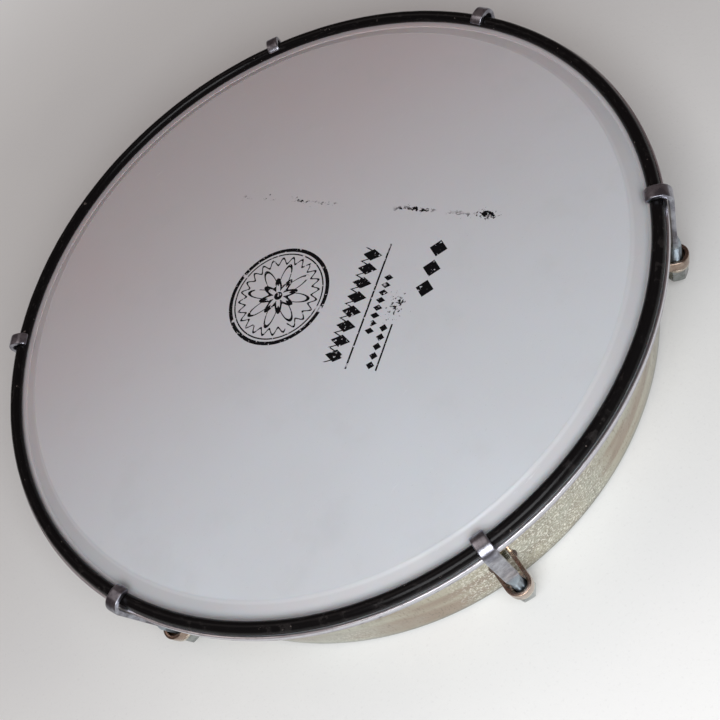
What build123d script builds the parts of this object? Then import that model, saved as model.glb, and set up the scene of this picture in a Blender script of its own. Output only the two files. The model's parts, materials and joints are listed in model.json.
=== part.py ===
from build123d import *
import math
import os

# Shallow metal-shelled frame drum of the bodhran family, open at the back. Millimetres, +Z up
# through the head. The origin is on the drum's axis in the plane that the shell stands on.

# Shell: a strip of steel bent into a ring, its top edge rolled inwards, its foot turned inwards.
SHELL_DIAMETER = 330.0
SHELL_HEIGHT = 71.0
SHELL_SHEET = 1.2
EDGE_ROLL_RADIUS = 2.0
EDGE_ROLL_END = 230.0
FOOT_LIP_WIDTH = 6.0
FOOT_BEND_RADIUS = 2.0

# Head: a plastic film over the rolled edge, ending in a moulded rim inside the flesh hoop.
FILM = 0.3
HEAD_RIM_THICKNESS = 0.7
HEAD_RIM_INNER_RADIUS = 171.0
HEAD_RIM_OUTER_RADIUS = 178.6

# Counter hoop: a round bar on the head's rim, its middle level with the top of the film.
HOOP_BAR = 6.2
HOOP_RADIUS = 175.5

# Flesh hoop: a channel that holds the rim of the head.
CHANNEL_WIDTH = 12.0
CHANNEL_OUTER_RADIUS = 179.9
CHANNEL_WALL = 1.2
CHANNEL_FLOOR = 1.0
CHANNEL_INNER_WALL = 1.6
CHANNEL_OUTER_WALL = 3.6
CHANNEL_EDGE_ROUNDING = 0.4

# Tensioners: a hook bolt, a welded loop on the shell, a washer and a tall hex nut at each place.
TENSIONER_ANGLES = (136.6, 55.8, 12.2, 317.0, 257.8, 198.8)
LEAN = 6.0
HOOK_WIDTH = 7.0
HOOK_THICKNESS = 2.6
ARCH_RADIUS = 4.6
ARCH_INNER_CENTRE = 175.6
ARCH_OUTER_CENTRE = 177.4
ARCH_TIP_ANGLE = 150.0
STRAP_LENGTH = 33.0
SHOULDER_LENGTH = 4.0
ROD_DIAMETER = 6.0
ROD_CHAMFER = 0.6
ROD_BELOW_NUT = 2.4

LUG_WIDTH = 12.6
LUG_WALL = 2.0
LUG_HEIGHT = 6.0
LUG_FOOT_HEIGHT = 20.0
LUG_REACH_IN = 24.0

WASHER_DIAMETER = 12.4
WASHER_HOLE = 7.0
WASHER_THICKNESS = 1.6

NUT_ACROSS_FLATS = 10.0
NUT_HEIGHT = 9.0
NUT_BORE = 6.1
NUT_CHAMFER = 0.5
NUT_TURN_STEP = 17.0

# Worked out from the sizes above.
SHELL_RADIUS = SHELL_DIAMETER / 2
FILM_TOP = SHELL_HEIGHT + FILM
HOOP_HEIGHT = FILM_TOP
RIM_TOP = HOOP_HEIGHT - HOOP_BAR / 2
CHANNEL_FLOOR_TOP = RIM_TOP - HEAD_RIM_THICKNESS
CHANNEL_BOTTOM = CHANNEL_FLOOR_TOP - CHANNEL_FLOOR
ROLL_CENTRE = (SHELL_RADIUS - EDGE_ROLL_RADIUS, SHELL_HEIGHT - EDGE_ROLL_RADIUS)


def radial_plane(angle):
    """The upright plane through the drum's axis at one place: x outwards, y up."""
    turn = math.radians(angle)
    return Plane(
        origin=(0, 0, 0),
        x_dir=(math.cos(turn), math.sin(turn), 0),
        z_dir=(math.sin(turn), -math.cos(turn), 0),
    )


def rod_point(height):
    """Where the leaning rod axis is, as (radius, height), at a height over the foot."""
    lean = math.radians(LEAN)
    radius = ARCH_OUTER_CENTRE + ARCH_RADIUS * math.cos(lean)
    start = HOOP_HEIGHT - ARCH_RADIUS * math.sin(lean)
    return radius + (height - start) * math.tan(lean), height


def rod_plane(angle, distance):
    """A plane square to the rod, at a distance along it above the loop's foot: x outwards."""
    lean = math.radians(LEAN)
    turn = math.radians(angle)
    radius, height = rod_point(LUG_FOOT_HEIGHT)
    radius += distance * math.sin(lean)
    height += distance * math.cos(lean)
    outwards = (math.cos(turn) * math.cos(lean), math.sin(turn) * math.cos(lean), -math.sin(lean))
    along = (math.cos(turn) * math.sin(lean), math.sin(turn) * math.sin(lean), math.cos(lean))
    origin = (radius * math.cos(turn), radius * math.sin(turn), height)
    return Plane(origin=origin, x_dir=outwards, z_dir=along)


def save(piece, name):
    piece.part.label = name
    export_step(piece.part, f"parts/{name}.step")


def make_shell():
    wall = SHELL_RADIUS - SHELL_SHEET / 2
    roll = EDGE_ROLL_RADIUS - SHELL_SHEET / 2
    bend = FOOT_BEND_RADIUS - SHELL_SHEET / 2
    with BuildPart() as shell:
        with BuildSketch(Plane.XZ):
            with BuildLine():
                Line((SHELL_RADIUS - FOOT_LIP_WIDTH, SHELL_SHEET / 2), (wall - bend, SHELL_SHEET / 2))
                CenterArc((wall - bend, SHELL_SHEET / 2 + bend), bend, -90, 90)
                Line((wall, SHELL_SHEET / 2 + bend), (wall, ROLL_CENTRE[1]))
                CenterArc(ROLL_CENTRE, roll, 0, EDGE_ROLL_END)
            trace(line_width=SHELL_SHEET)
        revolve(axis=Axis.Z)
    return shell


def make_head():
    """The film is flat, bends round the rolled edge and slopes to its rim."""
    bend = EDGE_ROLL_RADIUS + FILM / 2
    rim_middle = CHANNEL_FLOOR_TOP + FILM / 2
    across = HEAD_RIM_INNER_RADIUS - ROLL_CENTRE[0]
    down = rim_middle - ROLL_CENTRE[1]
    leave = math.degrees(math.atan2(down, across) + math.acos(bend / math.hypot(across, down)))
    with BuildPart() as head:
        with BuildSketch(Plane.XZ):
            with BuildLine():
                Line((0, ROLL_CENTRE[1] + bend), (ROLL_CENTRE[0], ROLL_CENTRE[1] + bend))
                round_edge = CenterArc(ROLL_CENTRE, bend, 90, leave - 90)
                Line(round_edge @ 1, (HEAD_RIM_INNER_RADIUS, rim_middle))
            trace(line_width=FILM)
            with BuildLine():
                Polyline(
                    (HEAD_RIM_INNER_RADIUS - FILM, CHANNEL_FLOOR_TOP),
                    (HEAD_RIM_OUTER_RADIUS, CHANNEL_FLOOR_TOP),
                    (HEAD_RIM_OUTER_RADIUS, RIM_TOP),
                    (HEAD_RIM_INNER_RADIUS, RIM_TOP),
                    close=True,
                )
            make_face()
        revolve(axis=Axis.Z)
    return head


def make_flesh_hoop():
    inner = CHANNEL_OUTER_RADIUS - CHANNEL_WIDTH
    with BuildPart() as hoop:
        with BuildSketch(Plane.XZ):
            with BuildLine():
                Polyline(
                    (inner, CHANNEL_BOTTOM),
                    (CHANNEL_OUTER_RADIUS, CHANNEL_BOTTOM),
                    (CHANNEL_OUTER_RADIUS, CHANNEL_BOTTOM + CHANNEL_OUTER_WALL),
                    (CHANNEL_OUTER_RADIUS - CHANNEL_WALL, CHANNEL_BOTTOM + CHANNEL_OUTER_WALL),
                    (CHANNEL_OUTER_RADIUS - CHANNEL_WALL, CHANNEL_FLOOR_TOP),
                    (inner + CHANNEL_WALL, CHANNEL_FLOOR_TOP),
                    (inner + CHANNEL_WALL, CHANNEL_BOTTOM + CHANNEL_INNER_WALL),
                    (inner, CHANNEL_BOTTOM + CHANNEL_INNER_WALL),
                    close=True,
                )
            make_face()
        revolve(axis=Axis.Z)
        outer_edges = hoop.edges().filter_by(GeomType.CIRCLE).sort_by(SortBy.RADIUS)[-2:]
        fillet(outer_edges, radius=CHANNEL_EDGE_ROUNDING)
    return hoop


def make_counter_hoop():
    with BuildPart() as hoop:
        with BuildSketch(Plane.XZ):
            with Locations((HOOP_RADIUS, HOOP_HEIGHT)):
                Circle(HOOP_BAR / 2)
        revolve(axis=Axis.Z)
    return hoop


def make_lug(angle):
    """A loop of flat steel round the rod, open above and below, welded to the shell by its ends."""
    with BuildPart() as lug:
        with BuildSketch(rod_plane(angle, 0)):
            with BuildLine():
                loop_outline(LUG_WIDTH / 2)
            make_face()
            with BuildLine():
                loop_outline(LUG_WIDTH / 2 - LUG_WALL)
            make_face(mode=Mode.SUBTRACT)
        extrude(amount=LUG_HEIGHT)
        with BuildSketch(Plane.XY):
            Circle(SHELL_RADIUS)
        extrude(amount=SHELL_HEIGHT, mode=Mode.SUBTRACT)
    return lug


def loop_outline(half_width):
    """A U that is round at its outer end and straight towards the shell."""
    Line((0, half_width), (-LUG_REACH_IN, half_width))
    Line((-LUG_REACH_IN, half_width), (-LUG_REACH_IN, -half_width))
    Line((-LUG_REACH_IN, -half_width), (0, -half_width))
    CenterArc((0, 0), half_width, -90, 180)


def make_hook_bolt(angle):
    """A rod flattened above its thread into a strap that arches over the counter hoop."""
    lean = math.radians(LEAN)
    strap_top = rod_point(HOOP_HEIGHT - ARCH_RADIUS * math.sin(lean))
    strap_end = (
        strap_top[0] - STRAP_LENGTH * math.sin(lean),
        strap_top[1] - STRAP_LENGTH * math.cos(lean),
    )
    above_foot = (strap_end[1] - LUG_FOOT_HEIGHT) / math.cos(lean)
    rod_top = above_foot - SHOULDER_LENGTH
    rod_bottom = -WASHER_THICKNESS - NUT_HEIGHT - ROD_BELOW_NUT
    with BuildPart() as bolt:
        with BuildSketch(radial_plane(angle)):
            with BuildLine():
                CenterArc((ARCH_INNER_CENTRE, HOOP_HEIGHT), ARCH_RADIUS, ARCH_TIP_ANGLE, 90 - ARCH_TIP_ANGLE)
                Line(
                    (ARCH_INNER_CENTRE, HOOP_HEIGHT + ARCH_RADIUS),
                    (ARCH_OUTER_CENTRE, HOOP_HEIGHT + ARCH_RADIUS),
                )
                CenterArc((ARCH_OUTER_CENTRE, HOOP_HEIGHT), ARCH_RADIUS, 90, -90 - LEAN)
                Line(strap_top, strap_end)
            trace(line_width=HOOK_THICKNESS)
        extrude(amount=HOOK_WIDTH / 2, both=True)
        with BuildSketch(rod_plane(angle, above_foot)):
            Rectangle(HOOK_THICKNESS, HOOK_WIDTH)
        with BuildSketch(rod_plane(angle, rod_top)):
            Circle(ROD_DIAMETER / 2)
        loft()
        with BuildSketch(rod_plane(angle, rod_bottom)):
            Circle(ROD_DIAMETER / 2)
        extrude(amount=rod_top - rod_bottom)
        tip = bolt.edges().filter_by(GeomType.CIRCLE).sort_by(Axis.Z)[0]
        chamfer(tip, length=ROD_CHAMFER)
    return bolt


def make_washer(angle):
    with BuildPart() as washer:
        with BuildSketch(rod_plane(angle, -WASHER_THICKNESS)):
            Circle(WASHER_DIAMETER / 2)
            Circle(WASHER_HOLE / 2, mode=Mode.SUBTRACT)
        extrude(amount=WASHER_THICKNESS)
    return washer


def make_nut(angle, turned):
    """A tall hex nut with its corners turned off at both ends."""
    corner = NUT_ACROSS_FLATS / math.sqrt(3)
    base = rod_plane(angle, -WASHER_THICKNESS - NUT_HEIGHT)
    side = Plane(origin=base.origin, x_dir=base.x_dir, z_dir=-base.y_dir)
    with BuildPart() as nut:
        with BuildSketch(base):
            RegularPolygon(NUT_ACROSS_FLATS / 2, 6, major_radius=False, rotation=turned)
            Circle(NUT_BORE / 2, mode=Mode.SUBTRACT)
        extrude(amount=NUT_HEIGHT)
        with BuildSketch(side):
            with BuildLine():
                Polyline(
                    (0, 0),
                    (NUT_ACROSS_FLATS / 2, 0),
                    (corner, NUT_CHAMFER),
                    (corner, NUT_HEIGHT - NUT_CHAMFER),
                    (NUT_ACROSS_FLATS / 2, NUT_HEIGHT),
                    (0, NUT_HEIGHT),
                    close=True,
                )
            make_face()
        revolve(axis=Axis(base.origin, base.z_dir), mode=Mode.INTERSECT)
    return nut


os.makedirs("parts", exist_ok=True)

save(make_shell(), "shell")
save(make_head(), "drum_head")
save(make_flesh_hoop(), "flesh_hoop")
save(make_counter_hoop(), "counter_hoop")

for number, place in enumerate(TENSIONER_ANGLES, start=1):
    save(make_lug(place), f"lug_{number}")
    save(make_hook_bolt(place), f"hook_bolt_{number}")
    save(make_washer(place), f"washer_{number}")
    save(make_nut(place, number * NUT_TURN_STEP), f"hex_nut_{number}")
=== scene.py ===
"""A shallow metal frame drum of the bodhran family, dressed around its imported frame, in metres."""
import json
import math

import bmesh
import bpy
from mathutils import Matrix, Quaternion, Vector, noise


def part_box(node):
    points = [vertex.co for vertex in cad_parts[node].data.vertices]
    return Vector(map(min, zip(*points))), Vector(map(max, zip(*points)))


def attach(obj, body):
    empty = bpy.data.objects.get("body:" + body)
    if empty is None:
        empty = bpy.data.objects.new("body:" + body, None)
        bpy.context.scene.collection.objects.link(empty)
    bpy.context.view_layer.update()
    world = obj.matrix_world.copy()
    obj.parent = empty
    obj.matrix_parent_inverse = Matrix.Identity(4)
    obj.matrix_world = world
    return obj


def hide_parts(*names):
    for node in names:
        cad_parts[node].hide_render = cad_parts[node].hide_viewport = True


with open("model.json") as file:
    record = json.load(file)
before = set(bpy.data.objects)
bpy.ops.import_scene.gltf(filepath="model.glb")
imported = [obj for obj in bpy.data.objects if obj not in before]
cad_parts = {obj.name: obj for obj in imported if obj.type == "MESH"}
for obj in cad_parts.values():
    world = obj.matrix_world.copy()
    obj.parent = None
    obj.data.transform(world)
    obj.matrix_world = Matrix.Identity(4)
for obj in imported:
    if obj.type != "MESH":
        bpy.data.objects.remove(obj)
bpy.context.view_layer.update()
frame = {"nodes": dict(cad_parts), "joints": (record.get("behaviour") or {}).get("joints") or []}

MM = 0.001
UP = Vector((0, 0, 1))
FULL_TURN = 2 * math.pi

# ---------------------------------------------------------------- sizes, as the frame has them
hoop_low, hoop_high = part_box("counter_hoop")
shell_low, shell_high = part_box("shell")
channel_low, channel_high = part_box("flesh_hoop")
film_low, film_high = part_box("drum_head")

HOOP_HEIGHT = (hoop_low.z + hoop_high.z) / 2
HOOP_BAR = hoop_high.z - hoop_low.z
HOOP_RADIUS = hoop_high.x - HOOP_BAR / 2
SHELL_RADIUS = shell_high.x
SHELL_HEIGHT = shell_high.z
CHANNEL_RADIUS = channel_high.x - 0.02 * MM
CHANNEL_BOTTOM = channel_low.z
FILM_TOP = film_high.z
FILM_RADIUS = film_high.x

SHELL_SHEET = 1.2 * MM
EDGE_ROLL = 2.0 * MM
EDGE_ROLL_END = 230
FOOT_LIP = 6.0 * MM
FOOT_BEND = 2.0 * MM

FILM = 0.3 * MM
HEAD_RIM = 0.7 * MM
HEAD_RIM_INNER = 171.0 * MM
CHANNEL_WIDTH = 12.0 * MM
CHANNEL_WALL = 1.2 * MM
CHANNEL_FLOOR = 1.0 * MM
CHANNEL_INNER_WALL = 1.6 * MM
CHANNEL_OUTER_WALL = 3.6 * MM

LEAN = math.radians(6)
HOOK_WIDTH = 7.0 * MM
HOOK_THICKNESS = 2.6 * MM
ARCH_RADIUS = 4.6 * MM
ARCH_INNER_CENTRE = 175.6 * MM
ARCH_OUTER_CENTRE = 177.4 * MM
ARCH_TIP = 150
STRAP_LENGTH = 33.0 * MM
SHOULDER_LENGTH = 4.0 * MM
ROD_RADIUS = 3.0 * MM
THREAD_PITCH = 1.0 * MM
THREAD_DEPTH = 0.5 * MM
THREAD_RUN_OUT = 1.0 * MM
ROD_BELOW_NUT = 2.4 * MM

LUG_WIDTH = 12.6 * MM
LUG_WALL = 2.0 * MM
LUG_HEIGHT = 6.0 * MM
WASHER_RADIUS = 6.2 * MM
WASHER_HOLE = 3.5 * MM
WASHER_THICKNESS = 1.6 * MM
NUT_FLAT = 5.0 * MM
NUT_HEIGHT = 9.0 * MM
NUT_BORE = 3.05 * MM
NUT_CHAMFER = 0.5 * MM

# How finely things are meshed, and the angle in degrees above which an edge is sharp.
SHARP_EDGE = 38
DRUM_STEPS = 360
HOOP_STEPS = 480
HOOK_POINTS = 40
STRAP_SQUARENESS = 0.28

# The window light is on the -Y side: this points away from it, in plan.
AWAY_FROM_WINDOW = (0.26, 0.966)


# ---------------------------------------------------------------- mesh tools
def loft(name, rings, round_trip=False, sharp=SHARP_EDGE):
    """A skin through rings of points in order, capped at both ends unless it comes back round."""
    count = len(rings[0])
    points = [point for ring in rings for point in ring]
    faces = []
    for here in range(len(rings) if round_trip else len(rings) - 1):
        start = here * count
        after = (here + 1) % len(rings) * count
        for j in range(count):
            k = (j + 1) % count
            faces.append((start + j, start + k, after + k, after + j))
    if not round_trip:
        faces.append(tuple(range(count)))
        faces.append(tuple(range(len(points) - count, len(points))))
    mesh = bpy.data.meshes.new(name)
    mesh.from_pydata(points, [], faces)
    shape = bmesh.new()
    shape.from_mesh(mesh)
    bmesh.ops.recalc_face_normals(shape, faces=shape.faces)
    shape.to_mesh(mesh)
    shape.free()
    mesh.shade_smooth()
    mesh.set_sharp_from_angle(angle=math.radians(sharp))
    piece = bpy.data.objects.new(name, mesh)
    bpy.context.scene.collection.objects.link(piece)
    return piece


def lathe(name, outline, steps, round_trip=True, wobble=None, sharp=SHARP_EDGE):
    """An outline of (radius, height) turned about the drum's axis; wobble may move each point."""
    rings = []
    for radius, height in outline:
        ring = []
        for step in range(steps):
            turn = FULL_TURN * step / steps
            r, z = wobble(turn, radius, height) if wobble else (radius, height)
            ring.append(Vector((r * math.cos(turn), r * math.sin(turn), z)))
        rings.append(ring)
    return loft(name, rings, round_trip, sharp)


def arc(centre, radius, first, last, steps):
    """Points on an arc, with the angle of each, from first to last in degrees."""
    made = []
    for step in range(steps + 1):
        turn = math.radians(first + (last - first) * step / steps)
        point = (centre[0] + radius * math.cos(turn), centre[1] + radius * math.sin(turn))
        made.append((point, turn))
    return made


def rounded(corners, radius, steps=5):
    """A closed outline through the corners, each one rounded."""
    made = []
    for index, corner in enumerate(corners):
        here = Vector(corner)
        back = (Vector(corners[index - 1]) - here).normalized()
        on = (Vector(corners[(index + 1) % len(corners)]) - here).normalized()
        half = back.angle(on) / 2
        middle = here + (back + on).normalized() * radius / math.sin(half)
        first = here + back * radius / math.tan(half) - middle
        last = here + on * radius / math.tan(half) - middle
        for step in range(steps + 1):
            made.append(tuple(middle + first.slerp(last, step / steps) * radius))
    return made


def strip(stations, thickness):
    """The closed outline of a bent strip: out along one face and back along the other."""
    outer = []
    inner = []
    for (x, y), turn in stations:
        half = Vector((math.cos(turn), math.sin(turn))) * thickness / 2
        outer.append((x + half.x, y + half.y))
        inner.append((x - half.x, y - half.y))
    return outer + inner[::-1]


def oblong(half_x, half_y, squareness, count=HOOK_POINTS):
    """A ring of (x, y) that runs from an ellipse at 1 to a rectangle with soft corners near 0."""
    made = []
    for step in range(count):
        turn = FULL_TURN * step / count
        x, y = math.cos(turn), math.sin(turn)
        made.append((
            half_x * math.copysign(abs(x) ** squareness, x),
            half_y * math.copysign(abs(y) ** squareness, y),
        ))
    return made


def between(a, b, share):
    return a + (b - a) * share


def ease(share):
    return share * share * (3 - 2 * share)


# ---------------------------------------------------------------- node tools
class Field:
    """A number that varies over a surface. Arithmetic on it adds Math nodes to its material."""

    def __init__(self, tree, socket):
        self.tree = tree
        self.socket = socket

    def math(self, operation, *others):
        node = self.tree.nodes.new("ShaderNodeMath")
        node.operation = operation
        for slot, value in zip(node.inputs, (self, *others)):
            plug(self.tree, value, slot)
        return Field(self.tree, node.outputs[0])

    def __add__(self, other):
        return self.math("ADD", other)

    def __sub__(self, other):
        return self.math("SUBTRACT", other)

    def __mul__(self, other):
        return self.math("MULTIPLY", other)

    def __truediv__(self, other):
        return self.math("DIVIDE", other)

    def __abs__(self):
        return self.math("ABSOLUTE")

    def most(self, other):
        return self.math("MAXIMUM", other)

    def below(self, limit):
        return self.math("LESS_THAN", limit)

    def rise(self, low, high):
        """0 up to low, 1 from high on, and smooth between them; it falls if low is above high."""
        node = self.tree.nodes.new("ShaderNodeMapRange")
        node.interpolation_type = "SMOOTHSTEP"
        plug(self.tree, self, node.inputs["Value"])
        node.inputs["From Min"].default_value = low
        node.inputs["From Max"].default_value = high
        return Field(self.tree, node.outputs[0])


def plug(tree, value, slot):
    if isinstance(value, Field):
        tree.links.new(value.socket, slot)
    else:
        slot.default_value = value


class Finish:
    """One procedural material on a Principled shader, in the row frame's metres."""

    def __init__(self, name, **constants):
        self.material = bpy.data.materials.new(name)
        self.material.use_nodes = True
        self.tree = self.material.node_tree
        self.shader = self.tree.nodes["Principled BSDF"]
        self.normal = None
        for socket, value in constants.items():
            self.shader.inputs[socket.replace("_", " ")].default_value = value
        self.place = self.tree.nodes.new("ShaderNodeTexCoord").outputs["Object"]
        split = self.tree.nodes.new("ShaderNodeSeparateXYZ")
        self.tree.links.new(self.place, split.inputs[0])
        self.x, self.y, self.z = (Field(self.tree, socket) for socket in split.outputs)
        self.radius = (self.x * self.x + self.y * self.y).math("SQRT")

    def vector(self, x, y, z):
        node = self.tree.nodes.new("ShaderNodeCombineXYZ")
        for slot, value in zip(node.inputs, (x, y, z)):
            plug(self.tree, value, slot)
        return node.outputs[0]

    def round_the_drum(self, along, across):
        """A place whose pattern is drawn out round the drum: long by along, fine by across."""
        return self.vector(
            self.x / self.radius * along,
            self.y / self.radius * along,
            (self.z + self.radius * 0.7) * across,
        )

    def texture(self, kind, place, settings):
        node = self.tree.nodes.new(kind)
        self.tree.links.new(place or self.place, node.inputs["Vector"])
        for socket, value in settings.items():
            node.inputs[socket].default_value = value
        return node

    def noise(self, scale, detail=2.0, roughness=0.5, place=None):
        settings = {"Scale": scale, "Detail": detail, "Roughness": roughness}
        node = self.texture("ShaderNodeTexNoise", place, settings)
        return Field(self.tree, node.outputs["Fac"])

    def measured(self, name):
        """A value the mesh carries, such as how deep a thread is cut, and 0 on a mesh without it."""
        node = self.tree.nodes.new("ShaderNodeAttribute")
        node.attribute_name = name
        return Field(self.tree, node.outputs["Fac"])

    def scratches(self, scale, turned, drawn_out=40.0, width=0.012):
        """Fine straight lines, one way round, that come and go."""
        node = self.tree.nodes.new("ShaderNodeMapping")
        self.tree.links.new(self.place, node.inputs["Vector"])
        node.inputs["Rotation"].default_value = turned
        node.inputs["Scale"].default_value = (1.0, drawn_out, drawn_out)
        line = abs(self.noise(scale, 1.0, 0.5, node.outputs[0]) - 0.5).rise(width, 0.0)
        return line * self.noise(scale * 3.0).rise(0.48, 0.62)

    def colour(self, base, *layers):
        """The base colour with (mask, colour) layers laid over it in order."""
        shown = None
        for mask, colour in layers:
            node = self.tree.nodes.new("ShaderNodeMix")
            node.data_type = "RGBA"
            plug(self.tree, mask, node.inputs["Factor"])
            if shown is None:
                node.inputs["A"].default_value = (*base, 1)
            else:
                self.tree.links.new(shown, node.inputs["A"])
            node.inputs["B"].default_value = (*colour, 1)
            shown = node.outputs["Result"]
        self.tree.links.new(shown, self.shader.inputs["Base Color"])

    def set(self, socket, value):
        plug(self.tree, value, self.shader.inputs[socket])

    def bump(self, height, depth):
        """Raises the surface by depth, in metres, where height is 1."""
        node = self.tree.nodes.new("ShaderNodeBump")
        node.inputs["Distance"].default_value = depth
        plug(self.tree, height, node.inputs["Height"])
        if self.normal:
            self.tree.links.new(self.normal, node.inputs["Normal"])
        self.normal = node.outputs[0]
        self.tree.links.new(self.normal, self.shader.inputs["Normal"])


# ---------------------------------------------------------------- materials
def shell_steel():
    """Bright rolled steel, hazed and streaked, with banded painted reflections that are browner at
    its top, painted glint specks on its front, and a painted contact shadow at its foot.
    """
    steel = Finish("shell_steel", Metallic=1.0)
    rolled = steel.noise(1.0, 3.0, 0.6, steel.round_the_drum(2.5, 900.0))
    # Painted reflection: brown and pale olive banding round the drum, standing in for what the
    # mirror-like wall reflects.
    reflection_bands = steel.noise(1.0, 2.0, 0.5, steel.round_the_drum(1.6, 75.0))
    ticks = steel.noise(1.0, 2.0, 0.6, steel.round_the_drum(260.0, 190.0)).rise(0.60, 0.68)
    haze = steel.noise(22.0, 3.0, 0.55)
    stain = steel.noise(60.0, 4.0, 0.6).rise(0.52, 0.70)
    specks = steel.noise(900.0, 1.0).rise(0.68, 0.74)
    # Painted glint: light and dark specks laid on the side that faces the window, strongest straight
    # towards it.
    facing = (steel.x * -0.10 - steel.y) / steel.radius
    patches = steel.noise(11.0, 1.0).rise(0.46, 0.58) * facing.rise(0.90, 0.80)
    patches = patches.most(facing.rise(0.955, 0.99))
    painted_glint = steel.noise(850.0, 2.0, 0.6).rise(0.54, 0.61) * patches
    glint_dark_specks = steel.noise(700.0, 2.0, 0.6).rise(0.52, 0.60) * patches
    # Painted reflection: the wall is painted browner towards its top.
    upper_reflection = steel.z.rise(SHELL_HEIGHT * 0.45, SHELL_HEIGHT * 0.85)
    # Painted contact shadow: the wall is painted dark towards the floor it stands on.
    foot = steel.z.rise(5.0 * MM, 1.0 * MM)
    steel.colour(
        (0.50, 0.47, 0.37),
        (upper_reflection * 0.9, (0.44, 0.34, 0.27)),
        (reflection_bands.rise(0.46, 0.64) * 0.8, (0.33, 0.25, 0.19)),
        (reflection_bands.rise(0.48, 0.32) * 0.8, (0.62, 0.61, 0.51)),
        (haze.rise(0.46, 0.70) * 0.6, (0.47, 0.49, 0.42)),
        (stain * 0.35, (0.24, 0.18, 0.13)),
        (ticks * 0.55, (0.16, 0.13, 0.10)),
        (glint_dark_specks * 0.45, (0.27, 0.24, 0.19)),
        (painted_glint * 0.85, (0.92, 0.90, 0.82)),
        (specks * 0.6, (0.12, 0.10, 0.08)),
        (foot * 0.75, (0.16, 0.17, 0.145)),
    )
    steel.set("Roughness", haze.rise(0.3, 0.7) * 0.08 + rolled * 0.08 + stain * 0.10 + 0.05)
    steel.bump(steel.noise(75.0, 2.0), 0.00030)
    steel.bump(steel.noise(560.0, 2.0), 0.00007)
    steel.bump(rolled, 0.000006)
    return steel.material


def hoop_enamel():
    """Thick black enamel, dragged and scuffed along the bar and chipped to grey metal in places."""
    enamel = Finish("hoop_enamel", Specular_IOR_Level=0.10)
    drag = enamel.noise(1.0, 3.0, 0.6, enamel.round_the_drum(6.0, 1400.0))
    scuff = enamel.noise(1.0, 4.0, 0.65, enamel.round_the_drum(30.0, 600.0)).rise(0.56, 0.70)
    chip = enamel.noise(330.0, 3.0, 0.6).rise(0.70, 0.73)
    enamel.colour(
        (0.0045, 0.0040, 0.0042),
        (scuff * 0.45, (0.035, 0.031, 0.030)),
        (chip, (0.20, 0.17, 0.155)),
    )
    enamel.set("Metallic", chip * 0.7 + scuff * 0.25)
    enamel.set("Roughness", scuff * 0.12 + drag * 0.10 + chip * 0.2 + 0.16)
    enamel.bump(enamel.noise(260.0, 1.0), 0.00004)
    enamel.bump(drag, 0.000012)
    enamel.bump(chip, -0.00006)
    return enamel.material


def channel_aluminium():
    """Drawn aluminium channel, streaked along its length, with black rubbed off the hoop and painted
    shade along its low edge.
    """
    metal = Finish("channel_aluminium", Metallic=1.0)
    drawn = metal.noise(1.0, 4.0, 0.65, metal.round_the_drum(4.0, 1600.0))
    rubbed = metal.noise(1.0, 4.0, 0.7, metal.round_the_drum(45.0, 900.0)).rise(0.55, 0.66)
    # Painted shade: the channel's underside edge is painted darker, and the rubbed black is laid on
    # more strongly there.
    shaded_low_edge = metal.z.rise(CHANNEL_BOTTOM + 1.8 * MM, CHANNEL_BOTTOM + 0.6 * MM)
    metal.colour(
        (0.72, 0.72, 0.76),
        (drawn.rise(0.46, 0.64) * 0.7, (0.46, 0.45, 0.49)),
        (shaded_low_edge * 0.85, (0.38, 0.35, 0.40)),
        (rubbed * (shaded_low_edge * 0.5 + 0.35), (0.17, 0.145, 0.14)),
    )
    metal.set("Roughness", drawn * 0.26 + rubbed * 0.15 + 0.16)
    metal.bump(drawn, 0.000006)
    metal.bump(metal.noise(180.0, 1.0), 0.00004)
    return metal.material


NO_ROD = -1.0


def zinc(name, bright, dull, grime, share, rough, rod_below=NO_ROD):
    """Zinc plate, bright where rubbed and dull elsewhere, with the rod below a height painted bluer
    and brighter as a painted highlight, and painted shade in the thread's valleys.
    """
    metal = Finish(name, Metallic=1.0)
    cloud = metal.noise(160.0, 4.0, 0.6)
    spots = metal.noise(900.0, 2.0).rise(0.60, 0.70)
    scratch = metal.scratches(260.0, (0.3, 0.5, 0.2)).most(metal.scratches(310.0, (1.1, 0.2, 0.9)))
    dirt = metal.noise(75.0, 3.0, 0.6).rise(0.50, 0.66)
    # Painted highlight: below this height the rod is painted a brighter blue, standing in for the
    # window's reflection on it.
    rod = metal.z.rise(rod_below + 4.0 * MM, rod_below - 3.0 * MM)
    metal.colour(
        bright,
        (cloud.rise(0.36, 0.66), dull),
        (dirt * share, grime),
        (spots * 0.4, grime),
        (rod * 0.8, (0.40, 0.49, 0.54)),
        (scratch * 0.5, (0.80, 0.80, 0.82)),
        # Painted shade: the thread's valleys are painted near black by how deep the thread is cut
        # there.
        (metal.measured("groove_shade").rise(0.1, 0.6) * 0.95, (0.02, 0.02, 0.025)),
    )
    metal.set("Roughness", cloud * 0.10 + dirt * 0.12 + scratch * 0.1 + rod * 0.06 + rough)
    metal.bump(metal.noise(140.0, 1.0), 0.000012)
    metal.bump(scratch, -0.000006)
    metal.bump(metal.noise(1500.0, 2.0), 0.000002)
    return metal.material


# The print on the head is laid out in millimetres along its own axes, u along and v across.
PRINT_TURN = math.radians(28)
INK_STROKE = 1.3


def ring_mark(u, v, centre, radius, stroke):
    reach = ((u - centre[0]) * (u - centre[0]) + (v - centre[1]) * (v - centre[1])).math("SQRT")
    return abs(reach - radius).below(stroke / 2)


def block_mark(u, v, low, high):
    middle = ((low[0] + high[0]) / 2, (low[1] + high[1]) / 2)
    inside = abs(u - middle[0]).below((high[0] - low[0]) / 2)
    return inside * abs(v - middle[1]).below((high[1] - low[1]) / 2)


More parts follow.
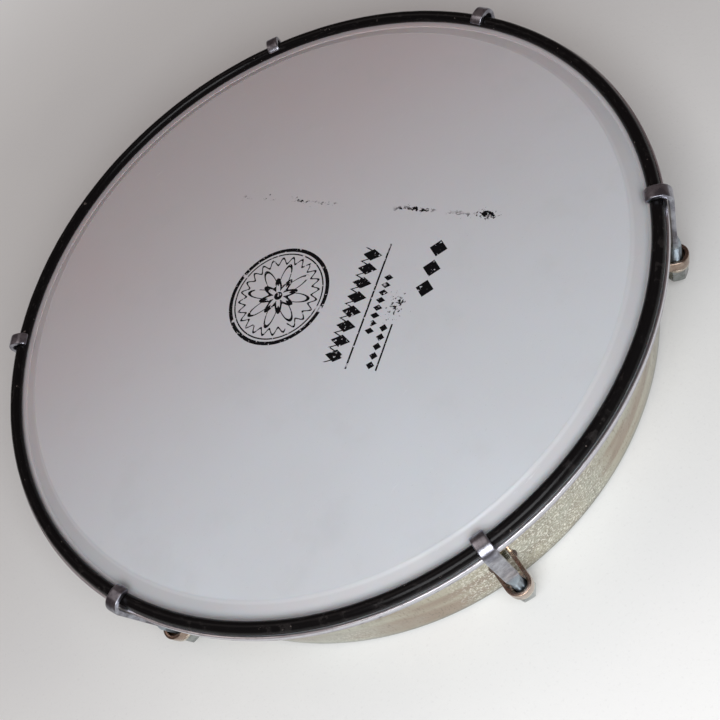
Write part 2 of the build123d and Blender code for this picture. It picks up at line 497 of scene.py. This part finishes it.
def repeat(u, pitch):
    """How far u is from the middle of its step, for a mark repeated at a pitch."""
    return (u / pitch).math("FRACT") * pitch - pitch / 2


def rosette_mark(u, v, centre, radius, swing, petals, stroke):
    du = u - centre[0]
    dv = v - centre[1]
    reach = (du * du + dv * dv).math("SQRT")
    wave = (dv.math("ARCTAN2", du) * petals).math("COSINE") * swing + radius
    return abs(reach - wave).below(stroke / 2)


def zigzag_mark(u, v, low, high, pitch, stroke):
    swing = (high[1] - low[1]) / 2 - stroke
    wave = abs(repeat(u - low[0], pitch)) * (4 * swing / pitch) - swing
    line = abs(v - (low[1] + high[1]) / 2 - wave).below(stroke)
    return line * block_mark(u, v, low, high)


def diamond_mark(u, v, low, high, pitch):
    across = (high[1] - low[1]) / 2
    middle = (low[1] + high[1]) / 2
    size = abs(repeat(u - low[0], pitch)) / (pitch * 0.42) + abs(v - middle) / across
    return size.below(1.0) * block_mark(u, v, low, high)


def fleck_patch(u, v, flecks, centre, size, level):
    """Flecks of ink that run together at the centre and thin out away from it."""
    across = (u - centre[0]) / size[0]
    along = (v - centre[1]) / size[1]
    reach = (across * across + along * along).math("SQRT")
    return (reach * -0.09 + flecks).rise(level, level + 0.04)


def smear(v, line, flecks, width, ink, centre, reach):
    """Flecks dragged along a line, from centre out to reach on both sides."""
    dragged = (line.rise(width, 0.2) * ink + flecks).rise(0.66, 0.69)
    return dragged * abs(v - centre).rise(reach, reach - 4.0)


def head_print(film):
    """An ornament of rings, rosettes, diamonds and rules that spells nothing, with smears by it."""
    cosine, sine = math.cos(PRINT_TURN), math.sin(PRINT_TURN)
    u = (film.x * cosine + film.y * sine) / MM
    v = (film.y * cosine - film.x * sine) / MM
    emblem = (-10.0, 10.0)
    marks = (
        ring_mark(u, v, emblem, 27.5, INK_STROKE * 1.6),
        ring_mark(u, v, emblem, 25.0, INK_STROKE * 0.6),
        rosette_mark(u, v, emblem, 21.0, 1.8, 24, INK_STROKE),
        rosette_mark(u, v, emblem, 12.5, 5.5, 8, INK_STROKE * 1.5),
        rosette_mark(u, v, emblem, 7.0, -2.5, 8, INK_STROKE * 2.4),
        ring_mark(u, v, emblem, 1.4, INK_STROKE * 1.5),
        diamond_mark(u, v, (-43.0, -40.5), (22.0, -29.5), 8.125),
        zigzag_mark(u, v, (-43.0, -40.5), (22.0, -29.5), 8.125, INK_STROKE * 0.6),
        block_mark(u, v, (-45.0, -43.6), (25.0, -42.6)),
        diamond_mark(u, v, (-26.0, -51.0), (8.0, -45.8), 4.25),
        block_mark(u, v, (-44.0, -59.5), (-19.0, -58.6)),
        diamond_mark(u, v, (-44.0, -57.5), (-19.0, -53.0), 5.0),
        diamond_mark(u, v, (-4.0, -74.0), (30.0, -64.5), 11.3),
    )
    whole = marks[0]
    for mark in marks[1:]:
        whole = whole.most(mark)
    worn = film.noise(520.0, 3.0, 0.6).rise(0.34, 0.38) * film.noise(95.0, 2.0).rise(0.32, 0.36)
    flecks = film.noise(640.0, 3.0, 0.65)
    patches = film.noise(70.0, 2.0).rise(0.42, 0.55)
    line = abs(u - 45.3 - v * 0.03 - film.noise(28.0, 1.0) * 4.0)
    near_smear = smear(v, line, flecks, 2.4, 0.22, -60.0, 34.0)
    far_smear = smear(v, line, flecks, 2.0, 0.14, 28.0, 32.0)
    smears = near_smear.most(far_smear) * patches * line.rise(4.5, 2.5)
    blot = fleck_patch(u, v, flecks, (45.0, -88.0), (1.0, 2.2), 0.33)
    speckle = fleck_patch(u, v, flecks, (-9.0, -57.5), (4.0, 3.0), 0.45)
    return (whole * worn).most(smears).most(blot).most(speckle)


def head_film():
    """Milky plastic film with painted shade that darkens and warms its far side, painted light and
    shade on the turned-down skirt and a painted highlight line at the bend, evened out at the
    collar, with a worn print.
    """
    film = Finish("head_film", Subsurface_Scale=0.004)
    ink = head_print(film)
    cloud = film.noise(9.0, 3.0, 0.55)
    dust = film.noise(1800.0, 2.0).rise(0.68, 0.76)
    smudge = film.noise(30.0, 4.0, 0.6).rise(0.52, 0.72)
    scratch = film.scratches(40.0, (0.1, 0.2, 0.7), 12.0, 0.004)
    collar = film.radius.rise(SHELL_RADIUS - 0.8 * MM, SHELL_RADIUS + 0.2 * MM)
    # Painted highlight: a light line where the film bends over the shell's edge.
    crease_highlight = abs(film.radius - (SHELL_RADIUS - 0.5 * MM)).rise(1.1 * MM, 0.2 * MM)
    skirt = film.radius.rise(SHELL_RADIUS - 2.4 * MM, SHELL_RADIUS - 0.8 * MM)
    skirt = skirt * film.radius.rise(HEAD_RIM_INNER + 0.5 * MM, HEAD_RIM_INNER - 0.5 * MM)
    # Painted light and shade: the skirt is painted lighter on the side away from the window and
    # darker on the side towards it.
    side = (film.x * AWAY_FROM_WINDOW[0] + film.y * AWAY_FROM_WINDOW[1]) / film.radius
    # Painted shade: the head is painted darker and warmer towards its far side, away from the
    # window.
    far_side_shade = (film.y + film.x * 0.25).rise(-0.14, 0.20)
    film.colour(
        (0.600, 0.600, 0.630),
        (collar * 0.6, (0.52, 0.52, 0.535)),
        (far_side_shade * 0.9, (0.550, 0.435, 0.435)),
        (skirt * side.rise(-0.3, 0.7) * 0.85, (0.84, 0.74, 0.75)),
        (skirt * side.rise(0.2, -0.8) * 0.7, (0.40, 0.40, 0.415)),
        (crease_highlight * 0.2, (0.78, 0.76, 0.77)),
        (cloud.rise(0.35, 0.65) * 0.35, (0.545, 0.525, 0.535)),
        (smudge * 0.15, (0.450, 0.440, 0.440)),
        (scratch * 0.25, (0.72, 0.72, 0.72)),
        (dust * 0.35, (0.36, 0.34, 0.33)),
        (ink, (0.003, 0.003, 0.004)),
    )
    film.set("Subsurface Weight", ink * -0.15 + 0.15)
    film.set("Specular IOR Level", ink * -0.4 + 0.5)
    film.set("Roughness", cloud * 0.10 + smudge * 0.12 + ink * 0.15 + collar * 0.2 + 0.32)
    film.bump(film.noise(18.0, 1.0), 0.00012)
    film.bump(film.noise(1100.0, 2.0), 0.000006)
    film.bump(ink, 0.00001)
    return film.material


def floor_paint():
    """Pale matt floor with the least mottling, lit from within where the lamps don't reach."""
    paint = Finish("floor_paint", Roughness=0.7, Emission_Color=(0.78, 0.80, 0.80, 1))
    paint.colour(
        (0.82, 0.83, 0.81),
        (paint.noise(5.0, 3.0).rise(0.4, 0.6), (0.80, 0.81, 0.795)),
        (paint.noise(700.0, 2.0).rise(0.6, 0.7) * 0.15, (0.60, 0.60, 0.59)),
    )
    paint.set("Emission Strength", paint.radius.rise(0.18, 0.9) * 0.6)
    paint.bump(paint.noise(300.0, 3.0), 0.00008)
    return paint.material


SHELL = shell_steel()
ENAMEL = hoop_enamel()
ALUMINIUM = channel_aluminium()
FILM_PLASTIC = head_film()
ROD_TOP = HOOP_HEIGHT - STRAP_LENGTH - 2.0 * MM
HOOK_ZINC = zinc(
    "hook_zinc", (0.41, 0.42, 0.465), (0.18, 0.18, 0.21), (0.10, 0.08, 0.08), 0.45, 0.25, ROD_TOP
)
LUG_ZINC = zinc(
    "lug_zinc", (0.46, 0.36, 0.29), (0.30, 0.21, 0.16), (0.09, 0.055, 0.04), 0.65, 0.16
)
# The weld beads are dark heat scale, painted darker still as painted shade where the arms meet the
# shell.
WELD_SCALE_AND_SHADE = zinc(
    "weld_scale_and_shade", (0.20, 0.15, 0.13), (0.12, 0.09, 0.08), (0.05, 0.035, 0.03), 0.60, 0.32
)
WASHER_ZINC = zinc(
    "washer_zinc", (0.72, 0.66, 0.56), (0.50, 0.43, 0.35), (0.20, 0.15, 0.11), 0.45, 0.18
)
NUT_STEEL = zinc(
    "nut_steel", (0.38, 0.40, 0.39), (0.25, 0.27, 0.26), (0.10, 0.09, 0.08), 0.55, 0.14
)


def dress(piece, body, slot, material, *nodes):
    """Puts a new piece on its body in place of its CAD nodes."""
    piece.data.materials.append(material)
    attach(piece, body)
    if nodes:
        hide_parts(*nodes)
    return piece


# ---------------------------------------------------------------- the shell
def shell_outline():
    wall = SHELL_RADIUS - SHELL_SHEET / 2
    roll = EDGE_ROLL - SHELL_SHEET / 2
    bend = FOOT_BEND - SHELL_SHEET / 2
    roll_centre = (SHELL_RADIUS - EDGE_ROLL, SHELL_HEIGHT - EDGE_ROLL)
    bend_centre = (wall - bend, SHELL_SHEET / 2 + bend)
    lip = SHELL_RADIUS - FOOT_LIP
    stations = [((lip, SHELL_SHEET / 2), math.radians(-90))]
    stations += arc(bend_centre, bend, -90, 0, 6)
    rows = 24
    for row in range(1, rows):
        height = between(bend_centre[1], roll_centre[1], row / rows)
        stations.append(((wall, height), 0.0))
    stations += arc(roll_centre, roll, 0, EDGE_ROLL_END, 20)
    return strip(stations, SHELL_SHEET)


def shell_wobble(turn, radius, height):
    """The wall was rolled by hand, so it wavers by a tenth of a millimetre away from its edges."""
    across = math.sin(math.pi * min(max(height / SHELL_HEIGHT, 0), 1))
    place = Vector((math.cos(turn), math.sin(turn), height * 9))
    wave = noise.noise(place * 5) * 0.16 + noise.noise(place * 14) * 0.05
    return radius - 0.1 * MM * across + wave * across * MM, height


wall = lathe("shell_wall", shell_outline(), DRUM_STEPS, wobble=shell_wobble)
dress(wall, "drum", "shell_steel", SHELL, "shell")


# ---------------------------------------------------------------- the head, channel and hoop
def head_outline():
    """From the middle of the film's top out to the rim, round it and back to the middle below."""
    roll_centre = (SHELL_RADIUS - EDGE_ROLL, SHELL_HEIGHT - EDGE_ROLL)
    bend = EDGE_ROLL + FILM / 2
    rim_low = CHANNEL_BOTTOM + CHANNEL_FLOOR
    across = HEAD_RIM_INNER - roll_centre[0]
    down = rim_low + FILM / 2 - roll_centre[1]
    leave = math.degrees(math.atan2(down, across) + math.acos(bend / math.hypot(across, down)))
    flat = [0.1 * MM, 20 * MM, 40 * MM, 60 * MM, 80 * MM, 100 * MM, 120 * MM, 140 * MM, 155 * MM]
    film = [((r, FILM_TOP - FILM / 2), math.radians(90)) for r in flat]
    film += arc(roll_centre, bend, 90, leave, 10)
    skirt_start = film[-1][0]
    for row in range(1, 6):
        share = row / 5
        point = (
            between(skirt_start[0], HEAD_RIM_INNER, share),
            between(skirt_start[1], rim_low + FILM / 2, share),
        )
        film.append((point, math.radians(leave)))
    outline = strip(film, FILM)
    half = len(outline) // 2
    rim = [
        (HEAD_RIM_INNER, rim_low + HEAD_RIM),
        (FILM_RADIUS, rim_low + HEAD_RIM),
        (FILM_RADIUS, rim_low),
        (HEAD_RIM_INNER, rim_low),
    ]
    return outline[:half] + rim + outline[half:]


def head_wobble(turn, radius, height):
    """Where the film turns down over the edge it gathers into very shallow ripples."""
    share = min(max((radius - (SHELL_RADIUS - 1 * MM)) / (3 * MM), 0), 1)
    share *= min(max((HEAD_RIM_INNER - 0.5 * MM - radius) / (2 * MM), 0), 1)
    ripple = noise.noise(Vector((math.cos(turn) * 22, math.sin(turn) * 22, 3)))
    return radius, height + ripple * share * 0.10 * MM


def channel_outline():
    inner = CHANNEL_RADIUS - CHANNEL_WIDTH
    floor_top = CHANNEL_BOTTOM + CHANNEL_FLOOR
    corners = [
        (inner, CHANNEL_BOTTOM),
        (CHANNEL_RADIUS, CHANNEL_BOTTOM),
        (CHANNEL_RADIUS, CHANNEL_BOTTOM + CHANNEL_OUTER_WALL),
        (CHANNEL_RADIUS - CHANNEL_WALL, CHANNEL_BOTTOM + CHANNEL_OUTER_WALL),
        (CHANNEL_RADIUS - CHANNEL_WALL, floor_top),
        (inner + CHANNEL_WALL, floor_top),
        (inner + CHANNEL_WALL, CHANNEL_BOTTOM + CHANNEL_INNER_WALL),
        (inner, CHANNEL_BOTTOM + CHANNEL_INNER_WALL),
    ]
    return rounded(corners, 0.28 * MM)


def hoop_outline():
    """The bar's round section."""
    points = arc((HOOP_RADIUS, HOOP_HEIGHT), HOOP_BAR / 2, 0, 360, 32)
    return [point for point, _ in points[:-1]]


def hoop_wobble(turn, radius, height):
    """The enamel lies a little unevenly on the bar, always inside its full size."""
    place = Vector((math.cos(turn), math.sin(turn), 0)) * 30
    place.z = math.atan2(height - HOOP_HEIGHT, radius - HOOP_RADIUS) * 0.6
    shrink = 1 - 0.022 * (0.5 + noise.noise(place))
    return (
        HOOP_RADIUS + (radius - HOOP_RADIUS) * shrink,
        HOOP_HEIGHT + (height - HOOP_HEIGHT) * shrink,
    )


head = lathe("drum_head_film", head_outline(), DRUM_STEPS, round_trip=False, wobble=head_wobble)
dress(head, "drum", "head_film", FILM_PLASTIC, "drum_head")
channel = lathe("flesh_hoop_channel", channel_outline(), DRUM_STEPS)
dress(channel, "drum", "channel_aluminium", ALUMINIUM, "flesh_hoop")
hoop = lathe("counter_hoop_bar", hoop_outline(), HOOP_STEPS, wobble=hoop_wobble)
dress(hoop, "drum", "hoop_enamel", ENAMEL, "counter_hoop")


# ---------------------------------------------------------------- the tensioners
class Tensioner:
    """Where one tensioner stands, read from its nut's joint."""

    def __init__(self, joint):
        self.number = joint["name"].rsplit("_", 1)[1]
        self.nut = Vector(joint["pos_m"])
        self.along = -Vector(joint["axis"]).normalized()
        self.outwards = Vector((self.nut.x, self.nut.y, 0)).normalized()
        self.side = UP.cross(self.outwards)
        self.across = self.side.cross(self.along)

    def upright(self, radius, height, sideways):
        return self.outwards * radius + UP * height + self.side * sideways

    def on_rod(self, distance, x, y):
        """A point from the rod's axis: distance is along the rod above the foot of the loop."""
        foot = self.nut + self.along * (WASHER_THICKNESS + NUT_HEIGHT / 2)
        return foot + self.along * distance + self.across * x + self.side * y

    def turned(self, name, outline, steps, sharp=SHARP_EDGE):
        """A closed outline of (radius, distance) turned about the rod's axis."""
        rings = []
        for radius, distance in outline:
            turns = [FULL_TURN * step / steps for step in range(steps)]
            rings.append([
                self.on_rod(distance, radius * math.cos(turn), radius * math.sin(turn))
                for turn in turns
            ])
        return loft(name, rings, True, sharp)


def thread(distance, turn, depth):
    """How far the thread cuts in: a right-hand helix with sloping flanks and a flat crest."""
    phase = (distance / THREAD_PITCH - turn / FULL_TURN) % 1
    flank = min(abs(phase - 0.5) * 2, 1)
    return depth * min(max(1.2 - 1.6 * flank, 0), 1)


def hook_stations():
    """The strap's centre line, from its tip to the shoulder, as ((radius, height), angle)."""
    lean = math.degrees(-LEAN)
    path = arc((ARCH_INNER_CENTRE, HOOP_HEIGHT), ARCH_RADIUS, ARCH_TIP, 90, 14)
    path += arc((ARCH_OUTER_CENTRE, HOOP_HEIGHT), ARCH_RADIUS, 90, lean, 20)
    top = Vector(path[-1][0])
    down = Vector((-math.sin(LEAN), -math.cos(LEAN)))
    rows = 16
    for row in range(1, rows + 1):
        path.append((tuple(top + down * STRAP_LENGTH * row / rows), -LEAN))
    return path


def make_hook(tensioner):
    """A strap bent over the hoop that runs into a threaded rod."""
    grain = float(tensioner.number) * 7
    half_thick = HOOK_THICKNESS / 2
    half_wide = HOOK_WIDTH / 2
    path = hook_stations()
    rings = []
    tip_rounding = ((0.0, 0.80), (0.25, 0.93), (0.7, 1.0))
    for index, ((radius, height), turn) in enumerate(path):
        wear = 1 - 0.012 * (1 + noise.noise(Vector((grain, index * 0.35, 0))))
        shrink = tip_rounding[index][1] if index < len(tip_rounding) else 1.0
        outer = math.cos(turn), math.sin(turn)
        ring = []
        thick = half_thick * wear * shrink
        wide = half_wide * wear * min(shrink + 0.08, 1)
        for a, b in oblong(thick, wide, STRAP_SQUARENESS):
            ring.append(tensioner.upright(radius + outer[0] * a, height + outer[1] * a, b))
        rings.append(ring)
    (last_radius, last_height), _ = path[-1]
    strap_end = tensioner.upright(last_radius, last_height, 0) - tensioner.on_rod(0, 0, 0)
    above_foot = strap_end.dot(tensioner.along)
    rod_top = above_foot - SHOULDER_LENGTH
    rod_bottom = -WASHER_THICKNESS - NUT_HEIGHT - ROD_BELOW_NUT
    rows = 10
    for row in range(1, rows + 1):
        share = ease(row / rows)
        section = oblong(
            between(half_thick, ROD_RADIUS, share),
            between(half_wide, ROD_RADIUS, share),
            between(STRAP_SQUARENESS, 1.0, share),
        )
        distance = between(above_foot, rod_top, row / rows)
        rings.append([tensioner.on_rod(distance, a, b) for a, b in section])
    groove_shade_values = [0.0] * (HOOK_POINTS * len(rings))
    step = THREAD_PITCH / 7
    rows = int((rod_top - rod_bottom) / step)
    for row in range(1, rows + 1):
        distance = between(rod_top, rod_bottom, row / rows)
        depth = THREAD_DEPTH * ease(min((rod_top - distance) / THREAD_RUN_OUT, 1))
        end = distance - rod_bottom
        limit = ROD_RADIUS - max(0.6 * MM - end, 0)
        ring = []
        for point in range(HOOK_POINTS):
            turn = FULL_TURN * point / HOOK_POINTS
            cut = thread(distance, turn, depth)
            reach = min(ROD_RADIUS - cut, limit)
            ring.append(tensioner.on_rod(distance, reach * math.cos(turn), reach * math.sin(turn)))
            groove_shade_values.append(cut / THREAD_DEPTH)
        rings.append(ring)
    hook = loft(f"hook_{tensioner.number}", rings)
    # Carries how deep the thread is cut at each point, for the painted shade in its valleys.
    hook.data.attributes.new("groove_shade", "FLOAT", "POINT").data.foreach_set("value", groove_shade_values)
    return hook


def make_lug(tensioner):
    """The flat loop round the rod: two arms from the shell and a round end."""
    middle = (LUG_WIDTH - LUG_WALL) / 2
    reach = Vector(tensioner.on_rod(0, 0, 0)[:2]).length - SHELL_RADIUS
    path = [(-reach * (1 - row / 8), -middle, -90) for row in range(8)]
    path += [
        (middle * math.cos(turn), middle * math.sin(turn), math.degrees(turn))
        for _, turn in arc((0, 0), middle, -90, 90, 24)
    ]
    path += [(-reach * row / 8, middle, 90) for row in range(1, 9)]
    sunk = SHELL_RADIUS - 0.4 * MM
    rings = []
    for index, (x, y, facing) in enumerate(path):
        turn = math.radians(facing)
        ring = []
        for a, b in oblong(LUG_WALL / 2, LUG_HEIGHT / 2, 0.25, 32):
            px = x + a * math.cos(turn)
            py = y + a * math.sin(turn)
            point = tensioner.on_rod(LUG_HEIGHT / 2 + b, px, py)
            if index in (0, len(path) - 1):
                past = Vector(point[:2]).length - sunk
                point -= tensioner.across * past / math.cos(LEAN)
            ring.append(point)
        rings.append(ring)
    return loft(f"lug_loop_{tensioner.number}", rings)


def make_weld(tensioner, hand):
    """A rippled bead up the outer corner between an arm of the loop and the shell."""
    name = f"lug_weld_{tensioner.number}_{'left' if hand > 0 else 'right'}"
    rings = []
    rows = 26
    for row in range(rows + 1):
        share = row / rows
        distance = between(0.2 * MM, LUG_HEIGHT - 0.2 * MM, share)
        swell = math.sin(math.pi * between(0.06, 0.94, share)) ** 0.4
        ripple = 1 + 0.16 * math.sin(share * FULL_TURN * 5)
        size = 0.95 * MM * swell * ripple
        stray = noise.noise(Vector((share * 3, float(tensioner.number), hand))) * 0.25 * MM
        centre = tensioner.on_rod(distance, 0, hand * (LUG_WIDTH / 2 + stray))
        centre -= tensioner.across * (Vector(centre[:2]).length - SHELL_RADIUS)
        ring = []
        for point in range(16):
            turn = FULL_TURN * point / 16
            offset = tensioner.across * math.cos(turn) + tensioner.side * math.sin(turn)
            ring.append(centre + offset * size)
        rings.append(ring)
    return loft(name, rings, sharp=60)


def corner_angle(tensioner, node):
    """Which way the nut's corners face: where the frame's own nut is furthest from its axis."""
    best = (0.0, 0.0)
    for vertex in frame["nodes"][node].data.vertices:
        arm = vertex.co - tensioner.nut
        x, y = arm.dot(tensioner.across), arm.dot(tensioner.side)
        best = max(best, (round(math.hypot(x, y), 6), math.atan2(y, x)))
    return best[1]


def make_nut(tensioner):
    """A tall hexagon with its corners turned off at both ends and a countersunk bore."""
    first = corner_angle(tensioner, f"hex_nut_{tensioner.number}")
    corner = NUT_FLAT / math.cos(math.pi / 6)
    worn_corner = corner * 0.985
    offsets = (-22, -14, -7, -3, -1.6, 0, 1.6, 3, 7, 14, 22, 30)
    low = -WASHER_THICKNESS - NUT_HEIGHT
    high = -WASHER_THICKNESS
    soft = 0.12 * MM
    sections = []
    for side in range(6):
        for offset in offsets:
            turn = first + math.radians(side * 60 + offset)
            flat = NUT_FLAT / math.cos(math.radians(30 - abs(offset)))
            reach = min(flat, worn_corner)
            cut = NUT_CHAMFER * (reach - NUT_FLAT) / (corner - NUT_FLAT) + soft
            outline = [
                (NUT_BORE + 0.45 * MM, low),
                (NUT_FLAT - soft, low),
                (NUT_FLAT, low + soft),
                (reach, low + cut),
                (reach, low + cut + soft),
                (reach, high - cut - soft),
                (reach, high - cut),
                (NUT_FLAT, high - soft),
                (NUT_FLAT - soft, high),
                (NUT_BORE + 0.45 * MM, high),
                (NUT_BORE, high - 0.45 * MM),
                (NUT_BORE, low + 0.45 * MM),
            ]
            sections.append([
                tensioner.on_rod(distance, radius * math.cos(turn), radius * math.sin(turn))
                for radius, distance in outline
            ])
    return loft(f"nut_{tensioner.number}", sections, True, 24)


def make_washer(tensioner):
    corners = [
        (WASHER_HOLE, -WASHER_THICKNESS),
        (WASHER_RADIUS, -WASHER_THICKNESS),
        (WASHER_RADIUS, 0),
        (WASHER_HOLE, 0),
    ]
    return tensioner.turned(f"washer_disc_{tensioner.number}", rounded(corners, 0.22 * MM, 3), 72)


for joint in frame["joints"]:
    if joint["name"].startswith("nut_turn"):
        place = Tensioner(joint)
        n = place.number
        dress(make_hook(place), f"hook_{n}", "hook_zinc", HOOK_ZINC, f"hook_bolt_{n}")
        dress(make_nut(place), f"nut_{n}", "nut_steel", NUT_STEEL, f"hex_nut_{n}")
        dress(make_lug(place), "drum", "lug_zinc", LUG_ZINC, f"lug_{n}")
        dress(make_washer(place), "drum", "washer_zinc", WASHER_ZINC, f"washer_{n}")
        for hand in (1, -1):
            dress(make_weld(place, hand), "drum", "lug_zinc", WELD_SCALE_AND_SHADE)


# ---------------------------------------------------------------- floor, light and camera
def make_floor():
    """A wide disc whose top is at the drum's foot."""
    top = [(radius, 0.0) for radius in (0.02, 0.6, 1.6, 4.0)]
    rings = []
    for radius, height in top + [(4.0, -0.01), (0.02, -0.01)]:
        turns = [FULL_TURN * step / 96 for step in range(96)]
        rings.append([Vector((radius * math.cos(t), radius * math.sin(t), height)) for t in turns])
    floor = loft("floor", rings)
    floor.data.materials.append(floor_paint())


def softbox(name, spot, target, size, power, colour):
    light = bpy.data.lights.new(name, "AREA")
    light.shape = "RECTANGLE"
    light.size, light.size_y = size
    light.energy = power
    light.color = colour
    lamp = bpy.data.objects.new(name, light)
    lamp.location = spot
    lamp.rotation_mode = "QUATERNION"
    lamp.rotation_quaternion = (Vector(target) - Vector(spot)).to_track_quat("-Z", "Y")
    bpy.context.scene.collection.objects.link(lamp)


def make_backdrop():
    """A dim warm room that lights the drum, and a pale backdrop that only the camera sees."""
    world = bpy.data.worlds.new("studio")
    world.use_nodes = True
    tree = world.node_tree
    room = tree.nodes["Background"]
    room.inputs["Color"].default_value = (1.0, 0.76, 0.73, 1)
    room.inputs["Strength"].default_value = 0.13
    seen = tree.nodes.new("ShaderNodeBackground")
    seen.inputs["Color"].default_value = (0.58, 0.565, 0.56, 1)
    path = tree.nodes.new("ShaderNodeLightPath")
    choose = tree.nodes.new("ShaderNodeMixShader")
    tree.links.new(path.outputs["Is Camera Ray"], choose.inputs[0])
    tree.links.new(room.outputs[0], choose.inputs[1])
    tree.links.new(seen.outputs[0], choose.inputs[2])
    tree.links.new(choose.outputs[0], tree.nodes["World Output"].inputs["Surface"])
    bpy.context.scene.world = world


def make_lights():
    """One big cool window light on the -Y side and a weak warm light above."""
    window_aim = (0, -0.10, 0.05)
    softbox("window", (-0.14, -0.50, 0.57), window_aim, (0.5, 0.4), 5.2, (0.95, 0.97, 1.0))
    softbox("ceiling", (-0.3, 0.7, 1.6), (0, 0.1, 0), (0.8, 0.8), 2, (1.0, 0.88, 0.84))
    bpy.context.scene.view_settings.view_transform = "Standard"


# The camera looks down from the -Y side, turned about its own line of sight.
CAMERA_AZIMUTH = math.radians(-7.57)
CAMERA_ELEVATION = math.radians(52.31)
CAMERA_DISTANCE = 0.4779
CAMERA_AIM = Vector((-0.0118, -0.0619, HOOP_HEIGHT))
CAMERA_ROLL = math.radians(-40.48)
CAMERA_LENS = 51.1


def make_camera():
    back = Vector((
        math.sin(CAMERA_AZIMUTH) * math.cos(CAMERA_ELEVATION),
        -math.cos(CAMERA_AZIMUTH) * math.cos(CAMERA_ELEVATION),
        math.sin(CAMERA_ELEVATION),
    ))
    camera = bpy.data.objects.new("camera", bpy.data.cameras.new("camera"))
    camera.data.sensor_width = 36
    camera.data.lens = CAMERA_LENS
    camera.data.clip_start = 0.01
    camera.location = CAMERA_AIM + back * CAMERA_DISTANCE
    camera.rotation_mode = "QUATERNION"
    level = (-back).to_track_quat("-Z", "Y")
    camera.rotation_quaternion = level @ Quaternion((0, 0, 1), CAMERA_ROLL)
    bpy.context.scene.collection.objects.link(camera)
    bpy.context.scene.camera = camera


make_floor()
make_backdrop()
make_lights()
make_camera()
